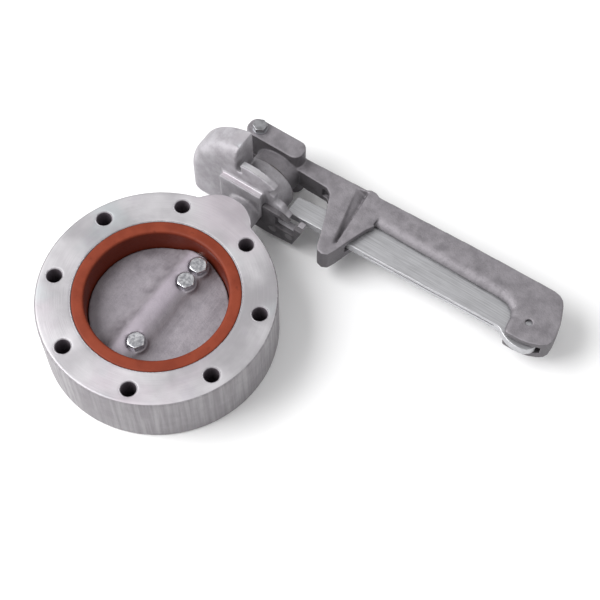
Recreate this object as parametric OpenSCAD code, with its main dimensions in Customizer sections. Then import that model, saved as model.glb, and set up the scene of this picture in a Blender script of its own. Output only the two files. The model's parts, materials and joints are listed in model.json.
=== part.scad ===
// Four-inch wafer butterfly valve with a squeeze-latch lever, lying on its back face.
// X runs along the handle, Y along the stem, Z along the pipe; millimetres.
// The origin is the centre of the back flange face.

/* [Flange] */
// Outside diameter of the flange ring
flange_d = 172; // [168:0.5:176]
// Face-to-face length along the pipe
face_t = 50; // [48:0.5:54]
// Bolt circle diameter
bolt_circle_d = 149.2; // [148:0.1:151]
// Bolt hole diameter
bolt_hole_d = 11.1; // [10:0.1:12]
// Number of flange bolt holes
bolt_count = 8; // [8]

/* [Seat and disc] */
// Diameter of the seat's flow bore
bore_d = 101.6; // [101:0.1:102.5]
// Diameter of the seat's lips on both faces
lip_d = 120.4; // [119:0.1:122]
// Thickness of the disc's plate
disc_t = 9; // [7:0.5:11]
// Stem diameter
stem_d = 16; // [15.8:0.1:16.2]

/* [Head] */
// Radius of the drum around the stem, beside the handle
drum_r = 57; // [54:0.5:58]
// Distance from the pipe axis to the drum's near face
drum_y = 112; // [111:0.5:113]
// Width of the drum along the stem
drum_w = 22; // [20:0.5:22]

/* [Handle] */
// Distance from the stem axis to the handle's far end
handle_l = 246; // [244:0.5:248]
// Thickness of the handle along the pipe
handle_w = 20; // [18:0.5:22]
// Thickness of the squeeze lever
lever_t = 7; // [6:0.5:8]

/* [Hidden] */
$fn = 96;

mid_z = face_t / 2;              // height of the stem axis
eps = 0.01;                      // overshoot of a cutting tool
fit = 0.05;                      // running clearance, on the radius
gap = 0.3;                       // clearance between bodies

// Ring
flange_r = flange_d / 2;
edge_chamfer = 0.8;
liner_r = 56.4;                  // body wall behind the seat
lip_depth = 4;

// Disc
disc_r = bore_d / 2 - gap;
stem_r = stem_d / 2;
// Upper half of the rib's section, from the disc's mid-plane
disc_rib = [[-20, 4.4], [-14, 6.4], [-9.5, 10], [-5, 12.4], [0, 13], [5, 12.4], [9.5, 10],
            [14, 6.4], [20, 4.4]];
spot_h = 10;                     // bolt seats, above and below the stem axis
spot_r = 7.6;
disc_bolt_x = 6;                 // the bolts cross the stem off-centre, as tangent pins do
disc_bolt_y = [40.5, 25.5, -33];
disc_bolt_r = 4;
hex_af = 12;                     // across flats of the disc bolts and nuts
hex_h = 5;
washer_r = 6.4;
washer_t = 1.5;
thread_out = 0.6;                // how far a bolt's end stands out of its nut

// Stems, bushes and seals
upper_stem_in = 15;
lower_stem_in = -24;
lower_stem_out = -73;
bush_wall = 2.5;
bush_r = stem_r + fit + bush_wall;
neck_bush_y = [58, 84];
head_bush_y = [112, 130];
lower_bush_y = [-73, -58];
o_ring_y = [92, 98];
o_ring_r = 1.3;

// Head
neck_r = 13.5;
pad_r = 26.7;
pad_y = 69.3;
ledge_x = [-23, 14];
ledge_y = 106;
ledge_z = 24;                    // underside of the ledge
boss_r = 24;
drum_round = 9;                  // rounding of the drum's near edge
drum_cut_x = -10.5;              // the stop face, which the finger guard meets when the valve is open
drum_y1 = drum_y + drum_w;
base_z = 0.8;                    // underside of the head, clear of the back face's plane
flange_w = 6;                    // thickness of the notched flange
flange_low_r = 34;
flange_high_r = 43;
flange_step = 57;                // angle at which the flange steps up
notch_x = [26, 42.5];
notch_z = [20.5, 34];
plate_t = 4;
plate_screws = [[23, 14], [38, 15.5]];
screw_r = 2;
screw_head_r = 3.3;
boss_y1 = drum_y1 + 2;
thrust_y1 = boss_y1 + 2;

// Handle
hub_y = [150, 166];
hub_x = [-32, 17.5];
hub_z = [1, 49];
hub_boss_r = 19;
hub_boss_y = thrust_y1 + gap;
square = 13;
clamp_x = -22;
clamp_y = (hub_y[0] + hub_y[1]) / 2;
clamp_slot = 2.4;
small_bolt_r = 3;                // the clamp bolt and the stem's end bolt
small_af = 10;
small_hex_h = 4;
clamp_washer_r = 5.9;
clamp_washer_t = 1.2;
end_washer_r = 12;
end_washer_t = 2.5;
grip_z = [mid_z - handle_w / 2, mid_z + handle_w / 2];
grip_y0 = 143.5;                 // near edge of the grip
guard_x = [46, 92];
// The grip's near edge, round to the far end's inner side, and its rounding on each stretch
grip_edge = [[guard_x[1] - 1, grip_y0], [197, grip_y0], [204, 142.2], [208.8, 139], [211.4, 134],
             [212.8, 124.5]];
grip_rounds = [9, 8.5, 7.5, 6, 3.5];
slot_w = 9;
slot_roof = 161.5;

// Squeeze lever
pivot = [225, 137];
pivot_r = 2.5;
pivot_sunk = 2.5;                // how deep the pin's end lies in the handle's upper side
eye_r = 9.5;
lever_tip_x = 28.5;
spring_x = 118;
spring_y = [147.5, 161.2];
spring_r = 3.4;
spring_wire_r = 0.6;
spring_turns = 7;
guide_r = 1;                     // clear of the spring, which the pin tilts in
groove_w = 1.6;
groove_d = 1.6;

function on_circle(r, a) = [r * cos(a), r * sin(a)];

// Turns a shape drawn along Z so that it lies along Y, through the stem axis
module along_stem(y) { translate([0, y, mid_z]) rotate([-90, 0, 0]) children(); }

// An outline drawn in the X-Z plane around the stem axis, extruded along Y
module stem_plate(y0, y1) {
    translate([0, y1, mid_z]) rotate([90, 0, 0]) linear_extrude(y1 - y0) children();
}

// A ring around the stem axis
module stem_ring(y, inner, outer) {
    along_stem(y[0]) difference() {
        cylinder(r = outer, h = y[1] - y[0]);
        translate([0, 0, -1]) cylinder(r = inner, h = y[1] - y[0] + 2);
    }
}

module hex(af, h) { cylinder(d = af / cos(30), h = h, $fn = 6); }

// A hexagon with its outer corners turned down, flats facing the sides
module hex_head(af, h) {
    chamfer_h = (af / cos(30) - af) / 2 * 0.6;
    intersection() {
        rotate(30) hex(af, h);
        union() {
            cylinder(d = af / cos(30) + 1, h = h - chamfer_h);
            translate([0, 0, h - chamfer_h - eps])
                cylinder(d1 = af / cos(30), d2 = af * 0.97, h = chamfer_h + eps);
        }
    }
}

module flange_holes() {
    for (i = [0 : bolt_count - 1])
        rotate(360 / bolt_count * (i + 0.5)) translate([bolt_circle_d / 2, 0, -1])
            cylinder(d = bolt_hole_d, h = face_t + 2);
}

module ring() {
    c = edge_chamfer;
    rotate_extrude() polygon([
        [lip_d / 2, 0], [flange_r - c, 0], [flange_r, c], [flange_r, face_t - c],
        [flange_r - c, face_t], [lip_d / 2, face_t], [lip_d / 2, face_t - lip_depth],
        [liner_r, face_t - lip_depth], [liner_r, lip_depth], [lip_d / 2, lip_depth]]);
}

// The space right of the stop face, where the lever swings
module swing_space() {
    translate([drum_cut_x, drum_y - 1, -1]) cube([2 * drum_r, drum_w + 10, 2 * drum_r + mid_z]);
}

// Half section of the drum, rounded at its near edge
drum_profile = concat(
    [[0, 0]],
    [for (a = [0 : 15 : 90]) [drum_r - drum_round + drum_round * sin(a),
                              drum_round - drum_round * cos(a)]],
    [[drum_r, drum_w], [0, drum_w]]);

module drum() {
    intersection() {
        difference() {
            union() {
                along_stem(drum_y) rotate_extrude() polygon(drum_profile);
                // Straight side below the stem axis
                translate([0, drum_y, 0]) mirror([1, 0, 0]) linear_extrude(mid_z)
                    polygon(drum_profile);
            }
            swing_space();
        }
        translate([-drum_r - 1, drum_y - 10, base_z]) cube([2 * drum_r, 60, 3 * drum_r]);
    }
}

// Outline of the notched flange, around the stem axis
module flange_outline() {
    difference() {
        union() {
            circle(flange_low_r);
            intersection() {
                circle(flange_high_r);
                polygon([[0, 0], 2 * on_circle(drum_r, flange_step),
                         2 * on_circle(drum_r, 97), 2 * on_circle(drum_r, 100)]);
            }
            translate([0, -mid_z]) plate_polygon(1);
        }
        translate(on_circle(flange_low_r + 2, 40)) circle(5);
        translate([0, -mid_z]) notch();
    }
}

// Side outline of the notch plate, which an inset makes a little smaller
module plate_polygon(inset) {
    polygon([[2, 5 + inset], [18, 4.5 + inset], [41 - inset, 7.5 + inset],
             [49.5 - inset, 31 - inset], [43, 31.5 - inset], [30, 38], [2, 38]]);
}

// The closed notch, with rounded corners at its floor
module notch() {
    r = 2.5;
    w = notch_x[1] - notch_x[0];
    h = notch_z[1] - notch_z[0];
    translate([notch_x[0], notch_z[0] + r]) square([w, h - r]);
    translate([notch_x[0] + r, notch_z[0]]) square([w - 2 * r, h]);
    for (x = [notch_x[0] + r, notch_x[1] - r]) translate([x, notch_z[0] + r]) circle(r);
}

module neck() {
    difference() {
        union() {
            // Rounded pad, as deep as the ring
            translate([0, pad_y, 0]) cylinder(r = pad_r, h = face_t);
            along_stem(pad_y) cylinder(r = neck_r, h = drum_y + 1 - pad_y);
            // Ledge in front of the head, level with the front face
            translate([ledge_x[0], ledge_y, ledge_z])
                cube([ledge_x[1] - ledge_x[0], drum_y + 1 - ledge_y, face_t - ledge_z]);
            drum();
            stem_plate(drum_y, drum_y + flange_w) intersection() {
                flange_outline();
                translate([-drum_r, base_z - mid_z]) square(2 * drum_r);
            }
            along_stem(drum_y) cylinder(r = boss_r, h = boss_y1 - drum_y);
        }
        // The ring's own place
        translate([0, 0, -1]) cylinder(r = flange_r - 5, h = face_t + 2);
    }
}

module valve_body() {
    color([0.79, 0.78, 0.79]) difference() {
        union() { ring(); neck(); }
        flange_holes();
        // Stem bore, stepped for the bushes and the O-rings
        along_stem(liner_r - 3) cylinder(r = bush_r, h = neck_bush_y[1] - liner_r + 3);
        along_stem(liner_r) cylinder(r = stem_r + 0.4, h = boss_y1 - liner_r + 1);
        along_stem(head_bush_y[0]) cylinder(r = bush_r, h = boss_y1);
        for (y = o_ring_y) stem_ring([y - o_ring_r - 0.1, y + o_ring_r + 0.1], stem_r,
                                     stem_r + fit + 2 * o_ring_r + 0.05);
        along_stem(lower_bush_y[0]) cylinder(r = bush_r, h = 20);
        for (p = plate_screws) screw_at(p, drum_y - plate_t)
            cylinder(r = screw_r, h = plate_t + flange_w - 1);
    }
}

// Turns a shape drawn along Z to point along Y, at a place on the notch plate
module screw_at(p, y) { translate([p[0], y, p[1]]) rotate([-90, 0, 0]) children(); }

module notch_plate() {
    color([0.3, 0.31, 0.32]) difference() {
        translate([0, drum_y, 0]) rotate([90, 0, 0]) linear_extrude(plate_t) difference() {
            plate_polygon(0);
            notch();
            // Room for the neck and the ledge
            translate([0, mid_z]) circle(neck_r + gap);
            translate([-1, ledge_z - gap]) square([ledge_x[1] + gap + 1, 20]);
        }
        for (p = plate_screws) screw_at(p, drum_y - plate_t - 1) {
            cylinder(r = screw_r + 0.1, h = 10);
            cylinder(r = screw_head_r + 0.1, h = 3);
        }
    }
}

module notch_plate_screws() {
    color([0.62, 0.62, 0.64]) for (p = plate_screws) screw_at(p, drum_y - plate_t) {
        cylinder(r = screw_head_r, h = 2);
        cylinder(r = screw_r, h = plate_t + flange_w - 1.2);
    }
}

module seat() {
    color([0.56, 0.26, 0.2]) difference() {
        rotate_extrude() polygon([
            [bore_d / 2 + 0.2, 1.5], [bore_d / 2 + 1.4, 0.2], [bore_d / 2 + 3, 0],
            [lip_d / 2, 0], [lip_d / 2, lip_depth], [liner_r, lip_depth],
            [liner_r, face_t - lip_depth], [lip_d / 2, face_t - lip_depth],
            [lip_d / 2, face_t], [bore_d / 2 + 3, face_t], [bore_d / 2 + 1.4, face_t - 0.2],
            [bore_d / 2 + 0.2, face_t - 1.5]]);
        along_stem(-liner_r - 1) cylinder(r = stem_r + gap, h = 2 * liner_r + 2);
    }
}

module disc() {
    color([0.66, 0.63, 0.66]) difference() {
        intersection() {
            translate([0, 0, mid_z]) sphere(disc_r);
            union() {
                translate([0, 0, mid_z - disc_t / 2]) cylinder(r = disc_r + 1, h = disc_t);
                stem_plate(-disc_r, disc_r) for (side = [0, 1]) mirror([0, side])
                    polygon(concat([[20, -1], [-20, -1]], disc_rib));
                // Seats for the bolts and nuts
                for (y = disc_bolt_y) translate([disc_bolt_x, y, mid_z - spot_h])
                    cylinder(r = spot_r + 0.5, h = 2 * spot_h);
            }
        }
        // Blind holes for the two stems
        along_stem(upper_stem_in) cylinder(r = stem_r + fit, h = disc_r);
        translate([0, lower_stem_in, mid_z]) rotate([90, 0, 0])
            cylinder(r = stem_r + fit, h = disc_r);
        for (y = disc_bolt_y) translate([disc_bolt_x, y, 0]) {
            translate([0, 0, mid_z - 20]) cylinder(r = disc_bolt_r + 0.1, h = 40);
            translate([0, 0, mid_z + spot_h]) cylinder(r = spot_r, h = 10);
            translate([0, 0, mid_z - spot_h - 10]) cylinder(r = spot_r, h = 10);
        }
    }
}

module stem_bolt_holes() {
    for (y = disc_bolt_y) translate([disc_bolt_x, y, mid_z - 12])
        cylinder(r = disc_bolt_r + 0.1, h = 24);
}

module upper_stem() {
    color([0.72, 0.72, 0.74]) difference() {
        union() {
            along_stem(upper_stem_in + 0.2) cylinder(r = stem_r, h = hub_boss_y - upper_stem_in - 0.2);
            translate([-square / 2, hub_boss_y, mid_z - square / 2])
                cube([square, hub_y[1] - 0.5 - hub_boss_y, square]);
        }
        stem_bolt_holes();
        along_stem(hub_y[1] - 18) cylinder(r = small_bolt_r, h = 20);
    }
}

module lower_stem() {
    color([0.72, 0.72, 0.74]) difference() {
        along_stem(lower_stem_out + 0.4)
            cylinder(r = stem_r, h = lower_stem_in - lower_stem_out - 0.6);
        stem_bolt_holes();
    }
}

module neck_bush() { color([0.72, 0.55, 0.3]) stem_ring(neck_bush_y, stem_r + fit, bush_r); }
module head_bush() { color([0.72, 0.55, 0.3]) stem_ring(head_bush_y, stem_r + fit, bush_r); }
module lower_bush() { color([0.72, 0.55, 0.3]) stem_ring(lower_bush_y, stem_r + fit, bush_r); }

module stem_o_rings() {
    color([0.12, 0.12, 0.12]) for (y = o_ring_y) along_stem(y)
        rotate_extrude() translate([stem_r + fit + o_ring_r, 0]) circle(o_ring_r, $fn = 24);
}

module thrust_washer() {
    color([0.72, 0.55, 0.3]) stem_ring([boss_y1, thrust_y1], stem_r + 0.4, hub_boss_r);
}

module disc_bolts() {
    color([0.8, 0.8, 0.82]) for (y = disc_bolt_y)
        translate([disc_bolt_x, y, mid_z + spot_h]) {
            shank = 2 * spot_h + washer_t + hex_h + thread_out;
            rotate(90) hex_head(hex_af, hex_h);
            translate([0, 0, -shank]) cylinder(r = disc_bolt_r, h = shank + 1);
        }
}

module disc_lock_washers() {
    color([0.7, 0.7, 0.72]) for (y = disc_bolt_y)
        translate([disc_bolt_x, y, mid_z - spot_h - washer_t]) difference() {
            cylinder(r = washer_r, h = washer_t);
            translate([0, 0, -1]) cylinder(r = disc_bolt_r + 0.1, h = washer_t + 2);
        }
}

module disc_nuts() {
    color([0.8, 0.8, 0.82]) for (y = disc_bolt_y)
        translate([disc_bolt_x, y, mid_z - spot_h - washer_t]) mirror([0, 0, 1]) difference() {
            rotate(90) hex_head(hex_af, hex_h);
            translate([0, 0, -1]) cylinder(r = disc_bolt_r, h = hex_h + 2);
        }
}

// Side outline of the handle, from the hub to the far end
module grip_outline() {
    polygon(concat([
        [hub_x[1] - 6, 151], [hub_x[1] - 6, 163], [70, 165.5], [73, 167.2], [77, 167.2], [81, 165.2],
        [158, 168.2], [214, 169.2], [229, 169.2], [233, 168.2], [236.5, 165.8], [239, 162],
        [242, 155], [244.5, 148], [handle_l, 139], [handle_l, 132], [244.6, 128.6],
        [240.6, 125.6], [234, 122.8], [226.6, 121.3], [215, 120.8]],
        [for (i = [len(grip_edge) - 1 : -1 : 1]) grip_edge[i]], [
        [guard_x[1], grip_y0],
        [88, 136], [83, 122], [79, 108.5], [76.5, 102.5], [72.5, 100.5], [68, 101.5],
        [65.5, 105], [61, 118], [55, 133], [48.5, 147], [44, 150]]));
}

// Takes the sharp edges off the grip's near side, above and below, along its whole edge
module grip_rounding() {
    for (side = [0, 1], i = [0 : len(grip_edge) - 2]) {
        start = grip_edge[i];
        run = grip_edge[i + 1] - start;
        r = grip_rounds[i];
        translate([0, 0, mid_z]) mirror([0, 0, side])
            translate([start[0], start[1], handle_w / 2 - r])
                rotate([0, 0, atan2(run[1], run[0])]) rotate([90, 0, 90]) translate([0, 0, -1])
                    linear_extrude(norm(run) + 2) difference() {
                        translate([-1, 0]) square(r + 1);
                        translate([r, 0]) circle(r);
                    }
    }
}

// The slot that holds the squeeze lever, open towards the valve
module lever_slot() {
    translate([0, 0, mid_z - slot_w / 2]) linear_extrude(slot_w) polygon([
        [40, 116.5], [95, 118], [200, 110], [241, 110], [241, 148.8], [215, 149.5],
        [200, slot_roof], [110, slot_roof], [60, 157], [40, 152]]);
}

// The crease on each side of the finger guard: a groove with one long sloping flank
module crease() {
    depth = 4.5;
    for (side = [0, 1]) translate([0, 0, mid_z]) mirror([0, 0, side])
        translate([0, 0, handle_w / 2]) hull() {
            translate([0, 0, 0.1]) linear_extrude(0.1)
                polygon([[62.5, 162.5], [72.5, 164.5], [76.5, 113], [73.5, 112]]);
            translate([0, 0, -depth]) linear_extrude(0.1) polygon([[70.5, 162], [71, 162], [76, 118]]);
        }
}

module handle() {
    color([0.56, 0.55, 0.58]) difference() {
        union() {
            difference() {
                translate([0, 0, grip_z[0]]) linear_extrude(handle_w) grip_outline();
                grip_rounding();
                lever_slot();
                crease();
            }
            // Hub block and its boss around the stem's square end
            translate([0, 0, hub_z[0]]) linear_extrude(hub_z[1] - hub_z[0]) hub_outline();
            stem_ring([hub_boss_y, hub_y[0] + 1], 3, hub_boss_r);
        }
        translate([-square / 2 - 0.05, 100, mid_z - square / 2 - 0.05])
            cube([square + 0.1, 80, square + 0.1]);
        // Clamp slot and clamp bolt hole
        translate([hub_x[0] - 1, 100, mid_z - clamp_slot / 2]) cube([-hub_x[0], 80, clamp_slot]);
        translate([clamp_x, clamp_y, hub_z[0] + 4]) cylinder(r = small_bolt_r + 0.1, h = 80);
        translate([pivot[0], pivot[1], 0]) cylinder(r = pivot_r, h = 60);
    }
}

module hub_outline() {
    r = 7;
    w = hub_x[1] - hub_x[0];
    d = hub_y[1] - hub_y[0];
    for (x = [hub_x[0] + r, hub_x[1] - r], y = [hub_y[0] + r, hub_y[1] - r])
        translate([x, y]) circle(r);
    translate([hub_x[0] + r, hub_y[0]]) square([w - 2 * r, d]);
    translate([hub_x[0], hub_y[0] + r]) square([w, d - 2 * r]);
}

module clamp_bolt() {
    color([0.75, 0.75, 0.77]) translate([clamp_x, clamp_y, hub_z[1] + clamp_washer_t]) {
        hex_head(small_af, small_hex_h);
        translate([0, 0, -43]) cylinder(r = small_bolt_r, h = 44);
    }
}

module clamp_washer() {
    color([0.7, 0.7, 0.72]) translate([clamp_x, clamp_y, hub_z[1]]) difference() {
        cylinder(r = clamp_washer_r, h = clamp_washer_t);
        translate([0, 0, -1]) cylinder(r = small_bolt_r + 0.1, h = clamp_washer_t + 2);
    }
}

module stem_end_bolt() {
    color([0.75, 0.75, 0.77]) along_stem(hub_y[1] + end_washer_t) {
        hex_head(small_af, small_hex_h);
        translate([0, 0, -16]) cylinder(r = small_bolt_r, h = 17);
    }
}

module stem_end_washer() {
    color([0.7, 0.7, 0.72]) stem_ring([hub_y[1], hub_y[1] + end_washer_t],
                                             small_bolt_r + 0.1, end_washer_r);
}

module lever_outline() {
    difference() {
        union() {
            polygon([
                [lever_tip_x, 119.5], [205, 125.4], [207.5, 125.2], [209.8, 124.2], [212.2, 122.4],
                [215, 120.8], [218.5, 119.4], [222, 118.6], [226, 118.2], [230, 118.6],
                [233.5, 120], [236.2, 122.5], [237.8, 126], [225, 138], [213, 148.5],
                [98, 147], [64, 139], [lever_tip_x, 135]]);
            translate(pivot) circle(eye_r);
            // Tail that meets the slot's roof when the lever is released
            polygon([[225, 130], [234, 136], [237.5, 146], [235, 148.4], [225, 146]]);
        }
        translate(pivot) circle(pivot_r + fit);
    }
}

module squeeze_lever() {
    color([0.7, 0.71, 0.72]) difference() {
        translate([0, 0, mid_z - lever_t / 2]) linear_extrude(lever_t) lever_outline();
        translate([spring_x, 138, mid_z]) rotate([-90, 0, 0]) cylinder(r = guide_r, h = 20);
        // Groove between the two folds of the strip, along the edge that the fingers squeeze
        translate([0, 0, mid_z - groove_w / 2]) linear_extrude(groove_w)
            polygon([[96, 115], [204, 115], [204, 125.4 + groove_d], [96, 121.8 + groove_d]]);
    }
}

module lever_pivot_pin() {
    below = 1.5;
    color([0.5, 0.5, 0.52]) translate([pivot[0], pivot[1], grip_z[0] - below])
        cylinder(r = pivot_r, h = handle_w + below - pivot_sunk);
}

module pivot_pin_clip() {
    color([0.5, 0.5, 0.52]) translate([pivot[0], pivot[1], grip_z[0] - 1.2]) difference() {
        cylinder(r = 4.6, h = 1);
        translate([0, 0, -1]) cylinder(r = pivot_r, h = 3);
    }
}

module lever_spring() {
    pitch = (spring_y[1] - spring_y[0] - 2 * spring_wire_r) / (spring_turns - 1);
    color([0.6, 0.6, 0.62]) translate([spring_x, spring_y[0], mid_z]) rotate([-90, 0, 0])
        for (i = [0 : spring_turns - 1])
            translate([0, 0, spring_wire_r + i * pitch]) rotate_extrude()
                translate([spring_r - spring_wire_r, 0]) circle(spring_wire_r, $fn = 16);
}

module spring_guide_pin() {
    color([0.5, 0.5, 0.52]) translate([spring_x, 138, mid_z]) rotate([-90, 0, 0])
        cylinder(r = guide_r, h = 16);
}

valve_body();
notch_plate();
notch_plate_screws();
seat();
disc();
upper_stem();
lower_stem();
neck_bush();
head_bush();
lower_bush();
stem_o_rings();
thrust_washer();
disc_bolts();
disc_lock_washers();
disc_nuts();
handle();
clamp_bolt();
clamp_washer();
stem_end_bolt();
stem_end_washer();
squeeze_lever();
lever_pivot_pin();
pivot_pin_clip();
lever_spring();
spring_guide_pin();
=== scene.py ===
"""Looks for the four-inch butterfly valve: cast-edge meshes, procedural materials, light, camera."""

import json
import math

import bpy
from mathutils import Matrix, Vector


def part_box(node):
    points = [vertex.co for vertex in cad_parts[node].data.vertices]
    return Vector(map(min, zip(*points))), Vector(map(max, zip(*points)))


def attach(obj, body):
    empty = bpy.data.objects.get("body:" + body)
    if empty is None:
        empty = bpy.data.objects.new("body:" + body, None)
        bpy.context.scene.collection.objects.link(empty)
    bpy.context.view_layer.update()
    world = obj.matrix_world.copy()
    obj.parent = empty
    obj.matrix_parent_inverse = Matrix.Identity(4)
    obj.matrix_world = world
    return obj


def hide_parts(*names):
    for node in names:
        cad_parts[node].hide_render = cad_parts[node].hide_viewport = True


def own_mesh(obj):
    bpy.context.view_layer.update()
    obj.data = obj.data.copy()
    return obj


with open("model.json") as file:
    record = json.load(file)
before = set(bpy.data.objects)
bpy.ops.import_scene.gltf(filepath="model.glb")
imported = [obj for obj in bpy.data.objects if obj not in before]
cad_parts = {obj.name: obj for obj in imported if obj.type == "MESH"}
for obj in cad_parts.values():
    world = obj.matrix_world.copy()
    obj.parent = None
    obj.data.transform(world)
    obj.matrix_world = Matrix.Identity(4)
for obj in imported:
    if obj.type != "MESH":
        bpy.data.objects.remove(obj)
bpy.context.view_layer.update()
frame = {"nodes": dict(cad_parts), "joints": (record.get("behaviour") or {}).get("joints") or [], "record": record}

MM = 0.001
scene = bpy.context.scene
nodes = frame["nodes"]
record = frame["record"]
body_of_node = {node: body for body, members in record["behaviour"]["bodies"].items()
                for node in members}
slot_of_node = {part["node"]: part["material_slot"] for part in record["subparts"]}
joints = {joint["name"]: joint for joint in frame["joints"]}

# Places on the valve. A range has two lengths: where a weight or mask starts, and where it is full.
BACK_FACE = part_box("valve_body")[0].z
MID_Z = joints["handle_turn"]["pos_m"][2]
RING_R = -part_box("valve_body")[0].x
RING_HALF = MID_Z - BACK_FACE        # half the face-to-face length
NECK_Y = (74 * MM, 84 * MM)          # range
HEAD_Y = 105 * MM                    # beyond this the casting has no machined face
INNER_END_Y = (84 * MM, 80 * MM)     # range; the bolt holes and the seat's walls lie below it
DISC_BOLTS = ((6 * MM, 40.5 * MM), (6 * MM, 25.5 * MM), (6 * MM, -33 * MM))    # X and Y of each
BOLT_SEAT_R = (7.2 * MM, 9.5 * MM)   # range, from a bolt's centre
DISC_EDGE_R = (47 * MM, 45 * MM)     # range, from the disc's centre
GRIP_CORNER = (209 * MM, 130 * MM)   # X and Y
GRIP_CORNER_R = (19 * MM, 10 * MM)   # range, from the corner
RIB_SIDE = (11 * MM, 4 * MM)         # range, from the rib's middle line
RIB_TOP = (9 * MM, 12 * MM)          # range, from the disc's mid-plane


# ---------------------------------------------------------------- meshes

def ramp(value, low, high):
    """From 0 at low to 1 at high."""
    return max(0.0, min(1.0, (value - low) / (high - low)))


def weight_where(obj, name, test):
    """A vertex group with the vertices that pass the test, which gives a weight from 0 to 1."""
    group = obj.vertex_groups.new(name=name)
    for vertex in obj.data.vertices:
        weight = test(vertex.co)
        if weight > 0:
            group.add([vertex.index], min(weight, 1.0), "REPLACE")


def evaluated_mesh(obj):
    graph = bpy.context.evaluated_depsgraph_get()
    return bpy.data.meshes.new_from_object(obj.evaluated_get(graph))


def bake_modifiers(obj):
    mesh = evaluated_mesh(obj)
    obj.modifiers.clear()
    obj.data = mesh


def soften(obj, steps, group=""):
    modifier = obj.modifiers.new("soften", "SMOOTH")
    modifier.factor = 0.5
    modifier.iterations = steps
    modifier.vertex_group = group


def shade_smooth(obj):
    for polygon in obj.data.polygons:
        polygon.use_smooth = True


def shaped(node, name, voxel, steps, extra=None, extra_steps=0):
    """A copy of a CAD node's shape with its edges broken as casting, forging or wear leaves them.
    extra weights the places that are softened further."""
    obj = bpy.data.objects.new(name, nodes[node].data.copy())
    scene.collection.objects.link(obj)
    obj.data.materials.clear()
    weld = obj.modifiers.new("weld", "WELD")
    weld.merge_threshold = 0.002 * MM
    grid = obj.modifiers.new("grid", "REMESH")
    grid.mode = "VOXEL"
    grid.voxel_size = voxel * MM
    bake_modifiers(obj)
    soften(obj, steps)
    if extra:
        weight_where(obj, "extra", extra)
        soften(obj, extra_steps, "extra")
    bake_modifiers(obj)
    obj.vertex_groups.clear()
    shade_smooth(obj)
    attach(obj, body_of_node[node])
    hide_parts(node)
    return obj


def head_weight(co):
    """The cast head and neck, away from the machined faces."""
    off_middle = abs(co.z - MID_Z)
    inside = ramp(off_middle, RING_HALF - 0.2 * MM, RING_HALF - 1.2 * MM) if co.y < HEAD_Y else 1.0
    return ramp(co.y, *NECK_Y) * inside


def disc_weight(co):
    """The disc's faces and rib, away from its rim and from the bolt seats."""
    seat_gap = min(math.hypot(co.x - x, co.y - y) for x, y in DISC_BOLTS)
    return ramp(math.hypot(co.x, co.y), *DISC_EDGE_R) * ramp(seat_gap, *BOLT_SEAT_R)


def grip_corner_weight(co):
    """The inner corner of the grip's far end, where its rounding turns."""
    return ramp(math.hypot(co.x - GRIP_CORNER[0], co.y - GRIP_CORNER[1]), *GRIP_CORNER_R)


def coil_spring():
    """The lever's spring as one closed-ended coil, in the place of the CAD node's rings."""
    low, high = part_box("lever_spring")
    wire = 0.6 * MM                  # radius of the wire
    turns = 7
    flat = 0.5                       # the part of a turn that lies flat at each end
    per_turn = 24                    # points along one turn
    centre = (low + high) / 2
    radius = (high.x - low.x) / 2 - wire
    y0, y1 = low.y + wire, high.y - wire
    points = []
    for i in range(turns * per_turn + 1):
        turn = i / per_turn
        y = y0 + (y1 - y0) * ramp(turn, flat, turns - flat)
        angle = 2 * math.pi * turn
        points.append((centre.x + radius * math.cos(angle), y, centre.z + radius * math.sin(angle)))
    curve = bpy.data.curves.new("coil", "CURVE")
    curve.dimensions = "3D"
    curve.bevel_depth = wire
    curve.bevel_resolution = 3
    curve.use_fill_caps = True
    spline = curve.splines.new("POLY")
    spline.points.add(len(points) - 1)
    for spline_point, co in zip(spline.points, points):
        spline_point.co = (*co, 1)
    route = bpy.data.objects.new("coil", curve)
    scene.collection.objects.link(route)
    obj = bpy.data.objects.new("coil_spring", evaluated_mesh(route))
    bpy.data.objects.remove(route)
    scene.collection.objects.link(obj)
    shade_smooth(obj)
    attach(obj, body_of_node["lever_spring"])
    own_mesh(obj)
    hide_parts("lever_spring")
    return obj


# CAD node, its piece, voxel in mm, smoothing steps, and the places softened further and their steps
SHAPED_PIECES = (
    ("valve_body", "body_casting", 0.8, 3, head_weight, 10),
    ("notch_plate", "plate_casting", 0.5, 4),
    ("seat", "seat_moulding", 0.7, 5),
    ("disc", "disc_casting", 0.7, 3, disc_weight, 50),
    ("handle", "handle_casting", 0.6, 7, grip_corner_weight, 30),
    ("squeeze_lever", "lever_strip", 0.26, 9),
    ("disc_bolts", "disc_bolt_set", 0.3, 3),
    ("disc_nuts", "disc_nut_set", 0.3, 3),
    ("clamp_bolt", "clamp_bolt_piece", 0.3, 3),
    ("stem_end_bolt", "stem_end_bolt_piece", 0.3, 3),
)
made = {row[0]: shaped(*row) for row in SHAPED_PIECES}
made["lever_spring"] = coil_spring()


# ---------------------------------------------------------------- materials

# The mesh's own curvature: 0.5 is flat, more is an outer edge and less is a hollow
EDGE_RANGE = (0.52, 0.60)
HOLLOW_RANGE = (0.49, 0.42)
# How open a point's surroundings are, 1 being wide open, and how far away they count
RECESS_RANGE = (0.85, 0.25)
RECESS_REACH = 25 * MM


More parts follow.
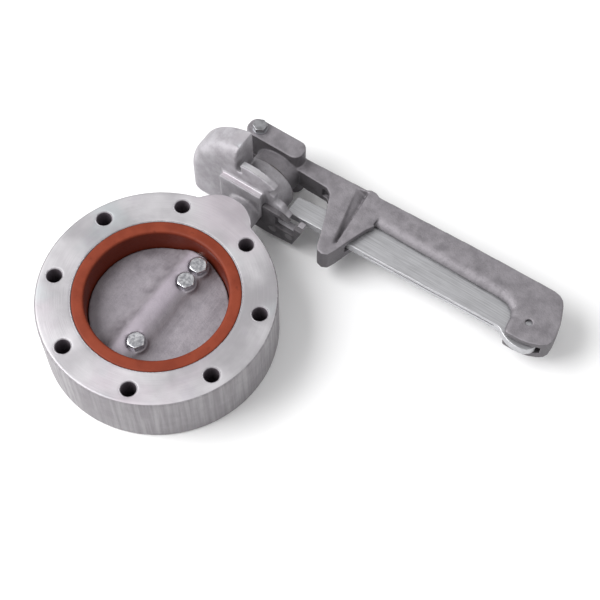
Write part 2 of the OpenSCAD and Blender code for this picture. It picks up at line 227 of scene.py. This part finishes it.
class Shader:
    """A material with short calls that add and link its nodes."""

    def __init__(self, name):
        self.material = bpy.data.materials.new(name)
        self.material.use_nodes = True
        self.tree = self.material.node_tree
        self.bsdf = self.tree.nodes["Principled BSDF"]
        coords = self.tree.nodes.new("ShaderNodeTexCoord")
        self.place = coords.outputs["Object"]
        self.normal = coords.outputs["Normal"]
        self.x, self.y, self.z = self.split(self.place)

    def put(self, socket, value):
        """Gives an input its value: another node's output, a colour or a number."""
        if isinstance(value, bpy.types.NodeSocket):
            self.tree.links.new(value, socket)
        elif isinstance(value, tuple) and len(value) == 3 and socket.type == "RGBA":
            socket.default_value = (*value, 1)
        else:
            socket.default_value = value

    def split(self, vector):
        node = self.tree.nodes.new("ShaderNodeSeparateXYZ")
        self.put(node.inputs[0], vector)
        return node.outputs

    def join(self, x, y, z):
        node = self.tree.nodes.new("ShaderNodeCombineXYZ")
        for socket, value in zip(node.inputs, (x, y, z)):
            self.put(socket, value)
        return node.outputs[0]

    def math(self, operation, a, b=0.0):
        node = self.tree.nodes.new("ShaderNodeMath")
        node.operation = operation
        self.put(node.inputs[0], a)
        self.put(node.inputs[1], b)
        return node.outputs[0]

    def times(self, a, b):
        return self.math("MULTIPLY", a, b)

    def step(self, value, low, high, out_low=0.0, out_high=1.0):
        """A smooth step from out_low to out_high as value goes from low to high."""
        node = self.tree.nodes.new("ShaderNodeMapRange")
        node.interpolation_type = "SMOOTHSTEP"
        for socket, setting in zip(node.inputs, (value, low, high, out_low, out_high)):
            self.put(socket, setting)
        return node.outputs[0]

    def noise(self, scale, vector=None, detail=4.0, rough=0.55):
        node = self.tree.nodes.new("ShaderNodeTexNoise")
        self.put(node.inputs["Vector"], self.place if vector is None else vector)
        self.put(node.inputs["Scale"], scale)
        self.put(node.inputs["Detail"], detail)
        self.put(node.inputs["Roughness"], rough)
        return node.outputs["Fac"]

    def stretched(self, scale_x, scale_y, scale_z, detail):
        """Noise with its own scale along each axis."""
        place = self.join(self.times(self.x, scale_x), self.times(self.y, scale_y),
                          self.times(self.z, scale_z))
        return self.noise(1.0, place, detail)

    def drawn(self, u, u_scale, v, v_scale, offset, detail):
        """Noise over two lengths u and v, each with its own scale."""
        place = self.join(self.times(u, u_scale), self.times(v, v_scale), offset)
        return self.noise(1.0, place, detail)

    def mix(self, factor, a, b):
        """From colour a to colour b."""
        node = self.tree.nodes.new("ShaderNodeMix")
        node.data_type = "RGBA"
        self.put(node.inputs["Factor"], factor)
        self.put(node.inputs[6], a)
        self.put(node.inputs[7], b)
        return node.outputs[2]

    def blend(self, factor, a, b):
        """From number a to number b."""
        node = self.tree.nodes.new("ShaderNodeMix")
        self.put(node.inputs["Factor"], factor)
        self.put(node.inputs[2], a)
        self.put(node.inputs[3], b)
        return node.outputs[0]

    def stain(self, under, over, pattern, low, high, amount=1.0):
        """Colour under, turning into colour over as the pattern goes from low to high."""
        return self.mix(self.step(pattern, low, high, 0.0, amount), under, over)

    def cover(self, under, over, mask, amount):
        """Colour under, with colour over on it where the mask is."""
        return self.mix(self.times(mask, amount), under, over)

    def facing(self, low, high):
        """A step as the part of the normal that lies along the pipe goes from low to high."""
        return self.step(self.math("ABSOLUTE", self.split(self.normal)[2]), low, high)

    def off_middle(self):
        """Distance from the plane halfway between the flange faces."""
        return self.math("ABSOLUTE", self.math("SUBTRACT", self.z, MID_Z))

    def curvature(self, low, high):
        node = self.tree.nodes.new("ShaderNodeNewGeometry")
        return self.step(node.outputs["Pointiness"], low, high)

    def edges(self):
        """1 along outer edges, which are lightened as rubbed wear and painted highlight."""
        return self.curvature(*EDGE_RANGE)

    def hollows(self):
        """1 along inner corners, where painted shade darkens the colour."""
        return self.curvature(*HOLLOW_RANGE)

    def recess(self):
        """1 deep inside the piece's own corners and pockets, where painted shade darkens the colour."""
        node = self.tree.nodes.new("ShaderNodeAmbientOcclusion")
        node.only_local = True
        node.samples = 8
        node.inputs["Distance"].default_value = RECESS_REACH
        return self.step(node.outputs["AO"], *RECESS_RANGE)

    def bump(self, height, depth_mm):
        node = self.tree.nodes.new("ShaderNodeBump")
        node.inputs["Strength"].default_value = 1.0
        node.inputs["Distance"].default_value = depth_mm * MM
        self.put(node.inputs["Height"], height)
        return node.outputs[0]

    def finish(self, colour, roughness, metallic, normal=None, specular=0.5):
        self.put(self.bsdf.inputs["Base Color"], colour)
        self.put(self.bsdf.inputs["Roughness"], roughness)
        self.put(self.bsdf.inputs["Metallic"], metallic)
        self.bsdf.inputs["Specular IOR Level"].default_value = specular
        if normal is not None:
            self.put(self.bsdf.inputs["Normal"], normal)
        return self.material


def shade(colour, factor):
    """The colour made darker or lighter."""
    return tuple(min(1.0, channel * factor) for channel in colour)


def polar(s):
    """Distance from the pipe axis, and distance along the circle around it."""
    r = s.math("SQRT", s.math("ADD", s.times(s.x, s.x), s.times(s.y, s.y)))
    angle = s.math("ARCTAN2", s.y, s.x)
    return r, s.times(angle, RING_R)


# Colours of the body casting: its turned faces, its ring's side, and its cast head
FACE_DARK, FACE_LIGHT = (0.43, 0.415, 0.435), (0.58, 0.565, 0.585)
FACE_ROSE, FACE_TEAL = (0.53, 0.455, 0.51), (0.44, 0.51, 0.52)
FACE_SPOT = (0.44, 0.405, 0.46)
FACE_GROOVE, FACE_SCRATCH = (0.32, 0.31, 0.33), (0.28, 0.27, 0.285)
SIDE_DARK, SIDE_LIGHT = (0.235, 0.22, 0.235), (0.33, 0.318, 0.33)
SIDE_STREAK, SIDE_SPOT = (0.18, 0.17, 0.18), (0.25, 0.235, 0.25)
HEAD_DARK, HEAD_LIGHT = (0.29, 0.275, 0.295), (0.43, 0.415, 0.44)
HEAD_GRAIN, HEAD_HOLLOW_SHADE = (0.18, 0.17, 0.18), (0.09, 0.08, 0.09)
HEAD_RECESS_SHADE, HEAD_EDGE_WEAR_AND_HIGHLIGHT = (0.08, 0.075, 0.08), (0.46, 0.45, 0.47)
INNER_SHADE = (0.12, 0.09, 0.115)


def face_colour(s, blotch, lathe):
    """A turned flange face: blotches, two faint tints, spots, lathe marks and scratches."""
    tint = s.noise(19, s.join(s.y, s.z, s.x))
    scratch = s.stretched(60, 900, 60, detail=3)
    colour = s.stain(FACE_DARK, FACE_LIGHT, blotch, 0.35, 0.68)
    colour = s.stain(colour, FACE_ROSE, s.noise(16), 0.50, 0.68, 0.45)
    colour = s.stain(colour, FACE_TEAL, tint, 0.52, 0.68, 0.40)
    colour = s.stain(colour, FACE_SPOT, s.noise(55, detail=6), 0.58, 0.72, 0.30)
    colour = s.stain(colour, FACE_GROOVE, lathe, 0.35, 0.65, 0.20)
    return s.stain(colour, FACE_SCRATCH, scratch, 0.66, 0.72, 0.20)


def side_colour(s, along, streak):
    """The ring's side: coarse and fine upright streaks, and spots."""
    fine_streak = s.drawn(along, 1500, s.z, 30, offset=8.0, detail=3)
    colour = s.stain(SIDE_DARK, SIDE_LIGHT, streak, 0.34, 0.68)
    colour = s.stain(colour, SIDE_STREAK, fine_streak, 0.55, 0.75, 0.22)
    return s.stain(colour, SIDE_SPOT, s.noise(38), 0.45, 0.7, 0.4)


def head_colour(s, mottle, grain):
    """The cast head: mottled, grained, with painted shade in its hollows and recesses, and outer edges lightened
    as rubbed wear and painted highlight.
    """
    colour = s.stain(HEAD_DARK, HEAD_LIGHT, mottle, 0.34, 0.68)
    colour = s.stain(colour, HEAD_GRAIN, grain, 0.55, 0.75, 0.35)
    # Painted shade in hollows and recesses, then edges lightened as wear and painted highlight
    colour = s.cover(colour, HEAD_HOLLOW_SHADE, s.hollows(), 0.45)
    colour = s.cover(colour, HEAD_RECESS_SHADE, s.recess(), 0.40)
    return s.cover(colour, HEAD_EDGE_WEAR_AND_HIGHLIGHT, s.edges(), 0.4)


def body_material():
    """Machined faces, a ring side with upright draw marks, and a grained cast head."""
    s = Shader("cast_body_material")
    r, along = polar(s)
    level = s.step(s.off_middle(), RING_HALF - 1 * MM, RING_HALF - 0.2 * MM)
    machined = s.times(s.facing(0.90, 0.985), level)
    side = s.times(s.step(r, RING_R - 3 * MM, RING_R - 1 * MM),
                   s.step(r, RING_R + 1 * MM, RING_R + 2 * MM, 1.0, 0.0))

    blotch = s.noise(22, detail=5)
    lathe = s.drawn(r, 2600, along, 30, offset=0.0, detail=3)
    streak = s.drawn(along, 300, s.z, 11, offset=3.0, detail=5)
    grain = s.noise(900, detail=3)
    mottle = s.noise(90, detail=6, rough=0.65)

    unmachined = s.mix(side, head_colour(s, mottle, grain), side_colour(s, along, streak))
    colour = s.mix(machined, unmachined, face_colour(s, blotch, lathe))
    # Painted shade in the bolt holes and on the inner walls
    inner = s.times(s.facing(0.6, 0.2), s.step(r, RING_R - 2.5 * MM, RING_R - 4 * MM))
    inner = s.times(inner, s.step(s.y, *INNER_END_Y))
    colour = s.cover(colour, INNER_SHADE, inner, 0.7)

    height = s.blend(side, s.math("ADD", s.times(grain, 0.5), mottle), streak)
    height = s.blend(machined, height, s.times(lathe, 0.12))
    roughness = s.blend(machined, s.step(mottle, 0.3, 0.7, 0.50, 0.68),
                        s.step(blotch, 0.3, 0.7, 0.34, 0.52))
    metallic = s.blend(machined, 0.45, 0.75)
    return s.finish(colour, roughness, metallic, s.bump(height, 0.55))


def cast_material(name, dark, light, edge, metallic=0.45, depth=0.45, streaks=0.0, side_shade=0.0,
                  rib=None):
    """Sand-cast aluminium: grain, blotches, painted shade in hollows and recesses, and outer edges lightened as
    rubbed wear and painted highlight.
    """
    s = Shader(name)
    grain = s.noise(1100, detail=3)
    mottle = s.noise(120, detail=6, rough=0.65)
    cloud = s.noise(28)
    colour = s.stain(dark, light, mottle, 0.30, 0.70)
    colour = s.stain(colour, light, cloud, 0.4, 0.65, 0.25)
    colour = s.stain(colour, shade(dark, 0.6), grain, 0.56, 0.76, 0.4)
    if side_shade:
        # Painted shade: faces that do not face along the pipe are darkened
        colour = s.mix(s.facing(0.10, 0.88), s.mix(side_shade, colour, shade(dark, 0.3)), colour)
    # Painted shade deep in the piece's own corners and pockets
    colour = s.cover(colour, shade(dark, 0.3), s.recess(), 0.6)
    if rib:
        # Painted highlight: the rib is paler along its top
        top = s.times(s.step(s.math("ABSOLUTE", s.x), *RIB_SIDE), s.step(s.off_middle(), *RIB_TOP))
        colour = s.mix(s.times(top, s.step(cloud, 0.3, 0.6, 0.45, 0.9)), colour, rib)
    if streaks:
        brushed = s.stretched(1400, 60, 60, detail=3)
        colour = s.stain(colour, shade(light, 1.25), brushed, 0.5, 0.72, streaks)
    # Painted shade in inner corners; outer edges lightened as rubbed wear and painted highlight
    colour = s.cover(colour, shade(dark, 0.35), s.hollows(), 0.5)
    colour = s.cover(colour, edge, s.edges(), 0.55)
    height = s.math("ADD", s.times(grain, 0.6), mottle)
    roughness = s.step(mottle, 0.3, 0.7, 0.46, 0.64)
    return s.finish(colour, roughness, metallic, s.bump(height, depth))


def rubber_material(name, base, light):
    """Moulded rubber: fine skin, and lips lightened where they face along the pipe, as bloom and painted light, so
    the walls look darker.
    """
    s = Shader(name)
    bloom = s.noise(70, detail=5)
    skin = s.noise(1600, detail=2)
    # Bloom and painted light: faces that face along the pipe are lighter
    bloom_and_painted_light = s.times(s.facing(0.3, 0.95), s.step(bloom, 0.3, 0.7, 0.55, 1.0))
    colour = s.mix(bloom_and_painted_light, base, light)
    colour = s.stain(colour, shade(base, 0.5), s.noise(260), 0.6, 0.75, 0.35)
    height = s.math("ADD", skin, s.times(bloom, 0.5))
    roughness = s.step(bloom, 0.3, 0.7, 0.42, 0.6)
    return s.finish(colour, roughness, 0.0, s.bump(height, 0.12), specular=0.15)


def metal_material(name, dark, light, rough=(0.2, 0.38), stretch=(1, 1, 1), scale=300, depth=0.05,
                   metallic=1.0):
    """Bright metal with grain drawn along one direction, smudges, painted shade in inner corners, and outer edges
    lightened as rubbed wear and painted highlight.
    """
    s = Shader(name)
    draw = s.stretched(*(axis * scale for axis in stretch), detail=4)
    smudge = s.noise(160)
    pits = s.noise(1500, detail=2)
    colour = s.stain(dark, light, draw, 0.35, 0.65)
    colour = s.stain(colour, dark, smudge, 0.55, 0.75, 0.3)
    colour = s.stain(colour, shade(dark, 0.5), pits, 0.68, 0.76, 0.5)
    # Painted shade in inner corners; outer edges lightened as rubbed wear and painted highlight
    colour = s.cover(colour, shade(dark, 0.25), s.hollows(), 0.8)
    colour = s.cover(colour, shade(light, 1.5), s.edges(), 0.7)
    height = s.math("ADD", draw, s.times(pits, 0.4))
    roughness = s.step(smudge, 0.3, 0.7, *rough)
    return s.finish(colour, roughness, metallic, s.bump(height, depth))


def give(obj, material):
    obj.data.materials.clear()
    obj.data.materials.append(material)


# The handle gets painted shade on its faces that do not face along the pipe
HANDLE_CAST = cast_material("handle_casting_material", (0.190, 0.178, 0.193),
                            (0.285, 0.268, 0.288), (0.42, 0.40, 0.43), side_shade=0.55)
# The disc gets a painted highlight along its rib's top
DISC_CAST = cast_material("disc_casting_material", (0.225, 0.205, 0.228),
                          (0.31, 0.286, 0.312), (0.40, 0.38, 0.40), depth=0.25, streaks=0.3,
                          rib=(0.345, 0.305, 0.35))
# The notch plate is very dark: partly its own dark metal, partly painted shade
PLATE_DARK_AND_SHADE = cast_material("notch_plate_material", (0.055, 0.050, 0.056),
                           (0.130, 0.122, 0.130), (0.25, 0.24, 0.25), metallic=0.3, depth=0.35)
SEAT_RUBBER = rubber_material("seat_rubber_material", (0.112, 0.016, 0.007), (0.215, 0.041, 0.019))
RING_RUBBER = rubber_material("o_ring_rubber_material", (0.02, 0.02, 0.02), (0.05, 0.05, 0.05))
ZINC = metal_material("zinc_fastener_material", (0.40, 0.40, 0.43), (0.82, 0.82, 0.85),
                      rough=(0.12, 0.30), scale=420)
DULL_ZINC = metal_material("dull_zinc_material", (0.26, 0.26, 0.27), (0.42, 0.42, 0.44),
                           rough=(0.34, 0.50))
LEVER_STEEL = metal_material("lever_steel_material", (0.43, 0.43, 0.445), (0.55, 0.55, 0.57),
                             rough=(0.34, 0.48), stretch=(0.10, 3, 3), scale=350, depth=0.04,
                             metallic=0.75)
STEM_STEEL = metal_material("stem_steel_material", (0.50, 0.50, 0.52), (0.72, 0.72, 0.74),
                            stretch=(0.4, 4, 0.4))
PIN_STEEL = metal_material("pin_steel_material", (0.22, 0.22, 0.23), (0.42, 0.42, 0.44),
                           rough=(0.28, 0.45))
BRONZE = metal_material("bush_bronze_material", (0.42, 0.25, 0.10), (0.68, 0.46, 0.22),
                        stretch=(0.5, 4, 0.5))

BY_SLOT = {
    "cast_body": body_material(),
    "notch_plate": PLATE_DARK_AND_SHADE,
    "seat_rubber": SEAT_RUBBER,
    "disc_casting": DISC_CAST,
    "stem_steel": STEM_STEEL,
    "bush_bronze": BRONZE,
    "o_ring_rubber": RING_RUBBER,
    "zinc_fastener": ZINC,
    "handle_casting": HANDLE_CAST,
    "lever_steel": LEVER_STEEL,
    "pin_steel": PIN_STEEL,
}
for node, obj in (*nodes.items(), *made.items()):
    give(obj, BY_SLOT[slot_of_node[node]])
give(nodes["notch_plate_screws"], PLATE_DARK_AND_SHADE)
for obj in (made["clamp_bolt"], nodes["clamp_washer"], made["stem_end_bolt"],
            nodes["stem_end_washer"]):
    give(obj, DULL_ZINC)


# ---------------------------------------------------------------- floor, light, camera

FLOOR_SIZE = 8.0
FLOOR_GAP = 0.2 * MM                 # keeps the floor clear of the back face
CAMERA_AIM = Vector((0.0782, 0.0646, 0.025))
CAMERA_AZIMUTH, CAMERA_ELEVATION = math.radians(34.4), math.radians(61.5)
CAMERA_DISTANCE = 1.01
CAMERA_LENS = 84.0


def make_floor():
    bpy.ops.mesh.primitive_plane_add(size=FLOOR_SIZE, location=(0, 0, BACK_FACE - FLOOR_GAP))
    floor = bpy.context.object
    floor.name = "floor"
    s = Shader("floor_material")
    colour = s.stain((0.93, 0.93, 0.935), (0.95, 0.95, 0.95), s.noise(3.0), 0.3, 0.7)
    give(floor, s.finish(colour, 0.9, 0.0, specular=0.1))


def make_camera():
    back = Vector((math.sin(CAMERA_AZIMUTH) * math.cos(CAMERA_ELEVATION),
                   -math.cos(CAMERA_AZIMUTH) * math.cos(CAMERA_ELEVATION),
                   math.sin(CAMERA_ELEVATION)))
    data = bpy.data.cameras.new("camera")
    data.lens = CAMERA_LENS
    data.clip_start, data.clip_end = 0.01, 20
    camera = bpy.data.objects.new("camera", data)
    camera.location = CAMERA_AIM + back * CAMERA_DISTANCE
    camera.rotation_euler = back.to_track_quat("Z", "Y").to_euler()
    scene.collection.objects.link(camera)
    scene.camera = camera


def make_light(name, direction, distance, size, power):
    """A soft square lamp that shines on the valve from a direction given in the camera's terms:
    right, up and towards the camera."""
    turn = scene.camera.rotation_euler.to_matrix()
    towards = (turn @ Vector(direction)).normalized()
    data = bpy.data.lights.new(name, "AREA")
    data.size = size
    data.energy = power
    lamp = bpy.data.objects.new(name, data)
    lamp.location = CAMERA_AIM + towards * distance
    lamp.rotation_euler = towards.to_track_quat("Z", "Y").to_euler()
    scene.collection.objects.link(lamp)


def make_world(strength):
    """An even white sky."""
    world = bpy.data.worlds.new("studio")
    world.use_nodes = True
    sky = world.node_tree.nodes["Background"]
    sky.inputs[0].default_value = (1, 1, 1, 1)
    sky.inputs[1].default_value = strength
    scene.world = world


make_floor()
make_camera()
make_world(strength=0.62)
make_light("key", direction=(-1.0, 0.45, 0.9), distance=1.7, size=1.3, power=37)
make_light("fill", direction=(0.9, -0.2, 1.0), distance=2.0, size=1.6, power=3)
scene.view_settings.view_transform = "Standard"
